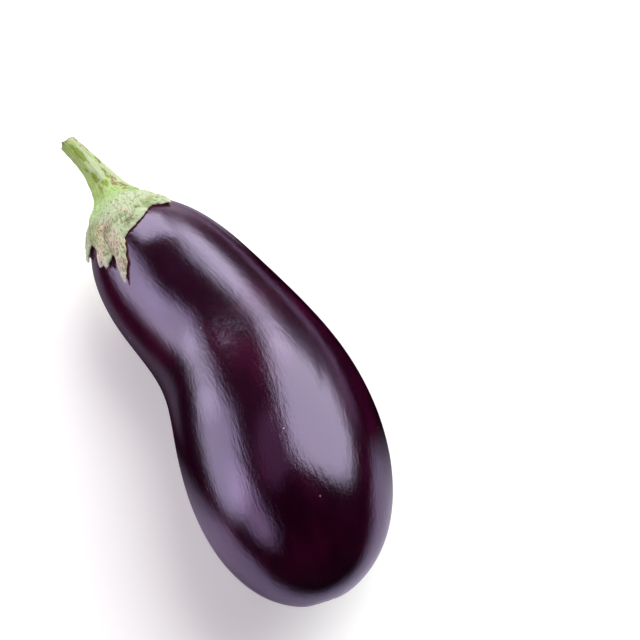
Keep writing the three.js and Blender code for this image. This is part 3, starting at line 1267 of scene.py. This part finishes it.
    def neck(self) -> Array:
        """Rings from the seam on the stem to the outer face: a cubic Hermite curve in each column that leaves along
        the stem and lands along the outer face.

        Returns:
            Rings of points, without the last, which is the outer face's first.
        """
        angle = -np.radians(self.columns.turn)
        seam = self.stem.seam_distance(angle)
        start = self.stem.point(seam, angle, self.seam_rise)
        start_slope = unit(start - self.stem.point(seam + 0.5, angle, self.seam_rise))
        share = np.array([[self.neck_share], [self.neck_share + 0.01]])
        end, beyond = self.outer(share)
        end_slope = unit(beyond - end)
        span = np.linalg.norm(end - start, axis=-1, keepdims=True)
        u = np.linspace(0, 1, self.neck_rings + 1)[:-1, None, None]
        bends = (2 * u**3 - 3 * u**2 + 1) * start + (u**3 - 2 * u**2 + u) * span * start_slope
        return bends + (3 * u**2 - 2 * u**3) * end + (u**3 - u**2) * span * end_slope

    def collar(self, t: Array, angle: Array) -> Array:
        """Pale line on the skin just outside the torn edge, faint with distance from it.

        Args:
            t: places on the centre line, from 0 to 1.
            angle: angles round it.

        Returns:
            Strengths from 0 to 1.
        """
        shown = (t < 0.35).nonzero()
        x = np.degrees(angle[shown]) * self.scale
        y = np.interp(t[shown], *self.fruit.length_table())
        gaps = turned(x[:, None], self.columns.around * self.scale, 360 * self.scale)
        nearest = np.sqrt((gaps**2 + (y[:, None] - self.columns.reach[None, :]) ** 2).min(1))
        line = np.zeros_like(t)
        line[shown] = hump(0, self.collar_width, nearest)
        return line

    def build(self) -> bpy.types.Object:
        """Skin from the cup that holds the stem, over the seam and neck, down the outer face, round the torn edge
        and back up the inner face to the fruit's nose.

        Returns:
            The calyx.
        """
        fruit, stem, turn = self.fruit, self.stem, np.radians(self.columns.turn)
        angle, count = -turn, len(turn)
        seam = stem.seam_distance(angle)
        start = stem.line[0] + self.cup_depth * unit(stem.line[1] - stem.line[0])
        floor = sections_along(stem.line, np.full(count, self.cup_depth / stem.length))
        cup = [floor.point(np.full(count, radius), angle) for radius in self.cup_radii]
        cup += [stem.point(seam + past, angle, rise) for past, rise in self.seam_steps]
        neck = self.neck()
        shares = np.linspace(self.neck_share, 1, self.outer_rings)[:, None]
        outer = self.outer(shares)
        bends = np.radians(self.edge_bends)[:, None]
        thick = self.thickness(np.array([[1.0]]))
        edge = self.over(np.ones_like(bends), thick * (0.5 + 0.5 * np.cos(bends)))
        edge = edge + (0.5 * thick * np.sin(bends))[..., None] * unit(outer[-1] - outer[-2])
        inner = self.over(np.linspace(1, 0, self.inner_rings)[:, None], 0.0)
        sunk = self.gap * stem.inward
        nose = [fruit.point((part * self.boss_root) ** 2, turn) - sunk for part in self.nose_parts]
        end = fruit.point(0, 0) - sunk
        skin = RingSkin(start, [*cup, *neck, *outer, *edge, *inner, *nose], end)
        marks = self.marks(shares, len(cup), len(edge) + len(inner) + len(nose))
        return piece_from("calyx_cap", skin.points(), skin.faces(), marks)

    def marks(self, shares: Array, before: int, after: int) -> dict[str, Array]:
        """Pattern places and shares of each colour for the finish, the painted shade and painted highlight of the
        folds among them.

        Args:
            shares: the outer face's shares of each column.
            before: how many rings come before the neck.
            after: how many come after the outer face.

        Returns:
            The marks by name.
        """
        columns = self.columns
        _, angle, reach = self.place(shares)
        count = len(columns.turn)
        neck = np.linspace(-self.neck_length, 0, self.neck_rings)[:, None] + reach[:1] - self.seam_join
        cup = np.broadcast_to(neck[:1], (before, count))
        distance = np.concatenate([cup, neck, reach, np.broadcast_to(columns.reach, (after, count))])
        turns = np.broadcast_to(columns.turn, (before + self.neck_rings, count))
        around = np.concatenate([turns, np.degrees(angle), np.broadcast_to(columns.around, (after, count))])
        outer_start, outer_end = len(turns), len(distance) - after
        bleach = np.zeros_like(distance)
        bleach[outer_start:outer_end] = columns.bleach * smooth(0.75, 1, shares)
        bleach[outer_end:] = columns.bleach
        relief = self.relief(distance)
        ring = np.arange(len(distance))[:, None]
        exposed = (ring >= before) & (ring < outer_end)
        green_line = self.front_green * hump(24, 34, turned(around, 0, 360))
        green_line = green_line + self.back_green * hump(190, 60, around % 360)
        values_by_name = {
            "bleach": bleach,
            "tan": cover(self.tanned, distance, around),
            "green": cover(self.greened, distance, around),
            # Painted shade in the folds' valleys and painted highlight on their crests, both from the relief's
            # height.
            "valley_shade": smooth(-0.10, -0.50, relief) * exposed,
            "crest_highlight": smooth(0.12, 0.55, relief) * exposed,
            "rooted": smooth(green_line + self.green_blur, green_line - self.green_blur, distance + relief),
        }
        grain = with_ends(np.zeros(3), self.grain(distance), np.zeros(3))
        return {"grain": grain, **{name: with_ends(0, values, 0) for name, values in values_by_name.items()}}


# ---- studio


@dataclass(frozen=True)
class Glow:
    """Soft-edged patch of light in the studio's surroundings: its middle in azimuth from +Y towards +X and in
    elevation, its half width, half height and lean, all in degrees, the share of it that its soft edge takes up, and
    its brightness."""

    azimuth: float
    elevation: float
    half_width: float
    half_height: float
    brightness: float
    edge: float = 0.25
    lean: float = 0.0
    tint: tuple = (1.0, 0.97, 1.0)

    def shine(self, nodes: Nodes, azimuth: Signal, elevation: Signal) -> bpy.types.NodeSocket:
        """Background of this patch alone: full where (|a| / width)^3 + (|e| / height)^3 is under 1, where a and e
        are the turn and rise from its middle.

        Args:
            nodes: node tree of the surroundings.
            azimuth: azimuth of the direction, in degrees.
            elevation: its elevation.

        Returns:
            The patch's shader.
        """
        rise = elevation - self.elevation
        turn = azimuth - self.azimuth - rise * self.lean
        across = (turn * (1 / self.half_width)).math("ABSOLUTE") ** 3
        upward = (rise * (1 / self.half_height)).math("ABSOLUTE") ** 3
        share = ((across + upward) ** (1 / 3)).between(1 + self.edge, 1 - self.edge)
        bright = tuple(self.brightness * channel for channel in self.tint)
        shade = nodes.blend(share, (0, 0, 0, 1), (*bright, 1))
        return nodes.node("ShaderNodeBackground", {}, {"Color": shade}).outputs[0]


@dataclass(frozen=True)
class Panel:
    """Small light panel close by: its middle and the point it faces, its width and height, all in millimetres, and
    how bright its face is."""

    middle: tuple
    target: tuple
    width: float
    height: float
    brightness: float

    def hang(self) -> None:
        """Add the panel, out of the camera's sight."""
        light = bpy.data.lights.new("near_panel", "AREA")
        light.shape = "RECTANGLE"
        light.size, light.size_y = self.width * METRES, self.height * METRES
        light.energy = self.brightness * 4 * light.size * light.size_y
        panel = placed("near_panel", light)
        away = Vector(self.middle) - Vector(self.target)
        panel.location = Vector(self.middle) * METRES
        panel.rotation_euler = away.to_track_quat("Z", "Y").to_euler()
        panel.visible_camera = False


@dataclass
class Studio:
    """Plain pale floor, soft surrounding light and the camera."""

    glows: tuple = (
        Glow(67, 48, 46, 32, 3.95, 0.2, 0.0, (1.02, 1.04, 1.0)),
        Glow(-60, 16, 26, 21, 2.8, 0.3, 0.0, (0.96, 0.92, 1.0)),
        Glow(-92, 27, 26, 13, 1.55, 0.5, 0.0, (1.0, 0.80, 1.0)),
        Glow(-25, 74, 75, 17, 0.32, 0.25, 0.0, (1.3, 0.6, 1.0)),
        Glow(-36, 8, 8, 12, 1.7, 0.4),
        Glow(-30, 50, 60, 22, 0.04, 0.5, 0.0, (1.2, 0.7, 1.0)),
        Glow(31, 20, 9, 10, 2.0, 0.5),
        Glow(62, 9, 16, 10, 0.48, 0.5, 0.0, (1.0, 0.85, 1.0)),
        Glow(23, -10, 14, 14, 1.0, 0.7, 0.0, (1.0, 0.94, 1.04)),
        Glow(59, -11, 3.8, 10, 1.45, 0.5, 2.2, (1.15, 0.75, 1.1)),
    )
    near_panel: Panel = Panel((-2, 193, 129), (-5, 50, 62), 110, 84, 3.2)
    floor_half: float = 4.0
    floor_shade: float = 0.86
    floor_glow: float = 0.3
    patch_tint: tuple = (0.84, 0.79, 1.0, 1)
    patch_rise: float = 0.3
    left_pale: float = 0.27
    behind_pale: float = 0.40
    camera_place: tuple = (-0.11594, -0.33245, 0.7149)
    camera_turn: tuple = (28, 0, -26)
    lens: float = 100

    def floor(self) -> None:
        """Pale matt floor, left out of the skin's mirror image."""
        half = self.floor_half / METRES
        corners = np.array([(-half, -half, 0), (half, -half, 0), (half, half, 0), (-half, half, 0)])
        floor = piece_from("floor", corners, [[0, 1, 2, 3]], {})
        floor.visible_glossy = False
        floor.data.materials.append(Recipe("floor").finished({
            "Base Color": (self.floor_shade,) * 3 + (1,),
            "Roughness": 1.0,
            "Specular IOR Level": 0.0,
            "Emission Color": (1, 1, 1, 1),
            "Emission Strength": self.floor_glow,
        }))

    def mirrored_floor(self) -> None:
        """Patch of floor that only the skin's mirror image shows: pale in front of the fruit, and paler than black
        in a strip left of its shoulder and in one behind the stem. Faces that would be black are left out."""
        columns, rows = 129, 77
        x, y = np.meshgrid(np.linspace(-320, 320, columns), np.linspace(-300, 160, rows), indexing="ij")
        far = mix(-38, -80, smooth(-60, 60, x))
        front = smooth(-205, -145, y) * smooth(315, 260, np.abs(x)) * smooth(far + 30, far - 30, y)
        left = self.left_pale * smooth(-10, 25, y) * smooth(-25, -48, x) * smooth(-94, -70, x)
        behind = self.behind_pale * smooth(72, 95, y) * smooth(-5, 15, x) * smooth(90, 60, x)
        pale = np.maximum(np.maximum(front, left), behind).ravel()
        corners = np.stack([x, y, np.full_like(x, self.patch_rise)], -1).reshape(-1, 3)
        first = (np.arange(columns - 1)[:, None] * rows + np.arange(rows - 1)).ravel()
        faces = np.stack([first, first + rows, first + rows + 1, first + 1], -1)
        faces = faces[pale[faces].max(-1) > 0]
        patch = piece_from("mirrored_floor", corners, faces.tolist(), {"pale": pale})
        patch.visible_camera = patch.visible_diffuse = patch.visible_shadow = False
        recipe = Recipe("mirrored_floor")
        shade = recipe.blend(recipe.mark("pale"), (0, 0, 0, 1), self.patch_tint)
        patch.data.materials.append(recipe.finished({
            "Base Color": shade,
            "Roughness": 1.0,
            "Specular IOR Level": 0.0,
        }))

    def surroundings(self) -> None:
        """White towards the camera, and for everything else the sum of the glows over black."""
        world = bpy.data.worlds.new("studio")
        bpy.context.scene.world = world
        world.use_nodes = True
        nodes = Nodes(world.node_tree)
        toward = nodes.node("ShaderNodeTexCoord", {}, {}).outputs["Generated"]
        x, y, z = (nodes.signal("ShaderNodeSeparateXYZ", {}, {0: toward}, axis) for axis in "XYZ")
        azimuth = x.math("ARCTAN2", y) * math.degrees(1)
        elevation = z.math("ARCSINE") * math.degrees(1)
        total = self.glows[0].shine(nodes, azimuth, elevation)
        for glow in self.glows[1:]:
            both = {0: total, 1: glow.shine(nodes, azimuth, elevation)}
            total = nodes.node("ShaderNodeAddShader", {}, both).outputs[0]
        white = nodes.node("ShaderNodeBackground", {}, {"Color": (1, 1, 1, 1)}).outputs[0]
        seen = nodes.node("ShaderNodeLightPath", {}, {}).outputs["Is Camera Ray"]
        shown = nodes.node("ShaderNodeMixShader", {}, {0: seen, 1: total, 2: white}).outputs[0]
        nodes.node("ShaderNodeOutputWorld", {}, {"Surface": shown})

    def build(self) -> None:
        """Floor, surroundings and camera."""
        self.floor()
        self.mirrored_floor()
        self.surroundings()
        self.near_panel.hang()
        camera = placed("camera", bpy.data.cameras.new("camera"))
        camera.location = self.camera_place
        camera.rotation_euler = [math.radians(turn) for turn in self.camera_turn]
        camera.data.lens = self.lens
        bpy.context.scene.camera = camera
        bpy.context.scene.view_settings.view_transform = "Standard"
        log.info("studio: %d patches of light", len(self.glows))


def main() -> None:
    """Build the studio, the fruit, the stem and the calyx."""
    logging.basicConfig(level=logging.INFO, format="%(name)s: %(message)s")
    Studio().build()
    fruit = Fruit()
    stem = Stem(fruit)
    calyx = Calyx(fruit, stem)
    settle(fruit.build(calyx), SkinFinish().material(), "skin", "fruit")
    settle(stem.build(), StemFinish().material(), "stem", "stem")
    settle(calyx.build(), CalyxFinish().material(), "calyx", "calyx")
    bpy.context.view_layer.update()


if __name__ == "__main__":
    main()
